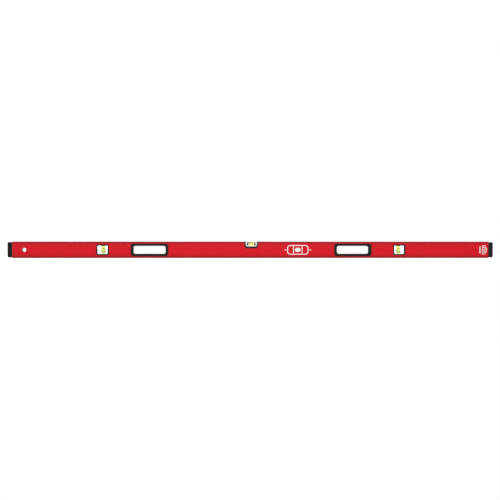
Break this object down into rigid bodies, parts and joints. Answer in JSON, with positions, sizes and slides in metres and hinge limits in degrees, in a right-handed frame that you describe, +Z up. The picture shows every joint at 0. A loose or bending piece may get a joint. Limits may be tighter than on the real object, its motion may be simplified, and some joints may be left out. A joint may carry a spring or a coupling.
{
  "type": "spirit level",
  "caption": "Long box-beam spirit level with hand holes, plumb vial windows, a level vial in the top edge, a hang hole and pull-off end caps.",
  "frame": {"origin": "middle of the bottom measuring face, halfway along the level and halfway through its thickness", "axes": "+X along the level towards the end away from the hang hole, +Z up from the bottom measuring face to the top one, the front face looks along -Y"},
  "size_m": [1.8288, 0.0342, 0.062],
  "materials": {
    "red_powder_coat": "satin powder coat over extruded aluminium",
    "bare_aluminium": "machined",
    "black_plastic": "fine moulded texture",
    "black_rubber": "soft matte",
    "white_plastic": "smooth moulded",
    "clear_acrylic": "polished clear",
    "vial_liquid": "clear tinted liquid",
    "air_bubble": "clear",
    "plated_steel": "zinc plated",
    "ring_black": "printed band"
  },
  "bodies": {
    "level_body": {"beam": "red_powder_coat", "hang_hole_sleeve": "bare_aluminium", "left_handle_back_grip": "black_rubber", "left_handle_back_shell": "black_plastic", "left_handle_front_grip": "black_rubber", "left_handle_front_shell": "black_plastic", "left_plumb_back_bezel": "black_plastic", "left_plumb_block": "clear_acrylic", "left_plumb_front_bezel": "black_plastic", "left_plumb_liquid": "vial_liquid", "left_plumb_plug": "black_plastic", "left_plumb_rings": "ring_black", "level_vial_back_housing": "black_plastic", "level_vial_cradle": "white_plastic", "level_vial_front_housing": "black_plastic", "level_vial_housing_screws": "plated_steel", "level_vial_left_plug": "black_plastic", "level_vial_liquid": "vial_liquid", "level_vial_right_plug": "black_plastic", "level_vial_rings": "ring_black", "level_vial_tube": "clear_acrylic", "right_handle_back_grip": "black_rubber", "right_handle_back_shell": "black_plastic", "right_handle_front_grip": "black_rubber", "right_handle_front_shell": "black_plastic", "right_plumb_back_bezel": "black_plastic", "right_plumb_block": "clear_acrylic", "right_plumb_front_bezel": "black_plastic", "right_plumb_liquid": "vial_liquid", "right_plumb_plug": "black_plastic", "right_plumb_rings": "ring_black"},
    "left_end_cap": {"left_cap_plug": "black_plastic", "left_cap_bumper": "black_rubber"},
    "right_end_cap": {"right_cap_plug": "black_plastic", "right_cap_bumper": "black_rubber"},
    "level_bubble": {"level_vial_bubble": "air_bubble"},
    "left_bubble": {"left_plumb_bubble": "air_bubble"},
    "right_bubble": {"right_plumb_bubble": "air_bubble"}
  },
  "joints": [
    {"name": "left_cap_pull", "type": "slide", "parent": "level_body", "child": "left_end_cap", "axis": [-1, 0, 0], "range_m": [0, 0.035]},
    {"name": "right_cap_pull", "type": "slide", "parent": "level_body", "child": "right_end_cap", "axis": [1, 0, 0], "range_m": [0, 0.035]},
    {"name": "level_bubble_slide", "type": "slide", "parent": "level_body", "child": "level_bubble", "axis": [1, 0, 0], "range_m": [-0.0053, 0.0053], "stiffness_N_per_m": 20},
    {"name": "left_bubble_slide", "type": "slide", "parent": "level_body", "child": "left_bubble", "axis": [0, 0, 1], "range_m": [-0.0085, 0.0085], "stiffness_N_per_m": 20},
    {"name": "right_bubble_slide", "type": "slide", "parent": "level_body", "child": "right_bubble", "axis": [0, 0, 1], "range_m": [-0.0085, 0.0085], "stiffness_N_per_m": 20}
  ],
  "couplings": [
    {"joint": "right_bubble_slide", "follows": "left_bubble_slide", "ratio": 1}
  ]
}
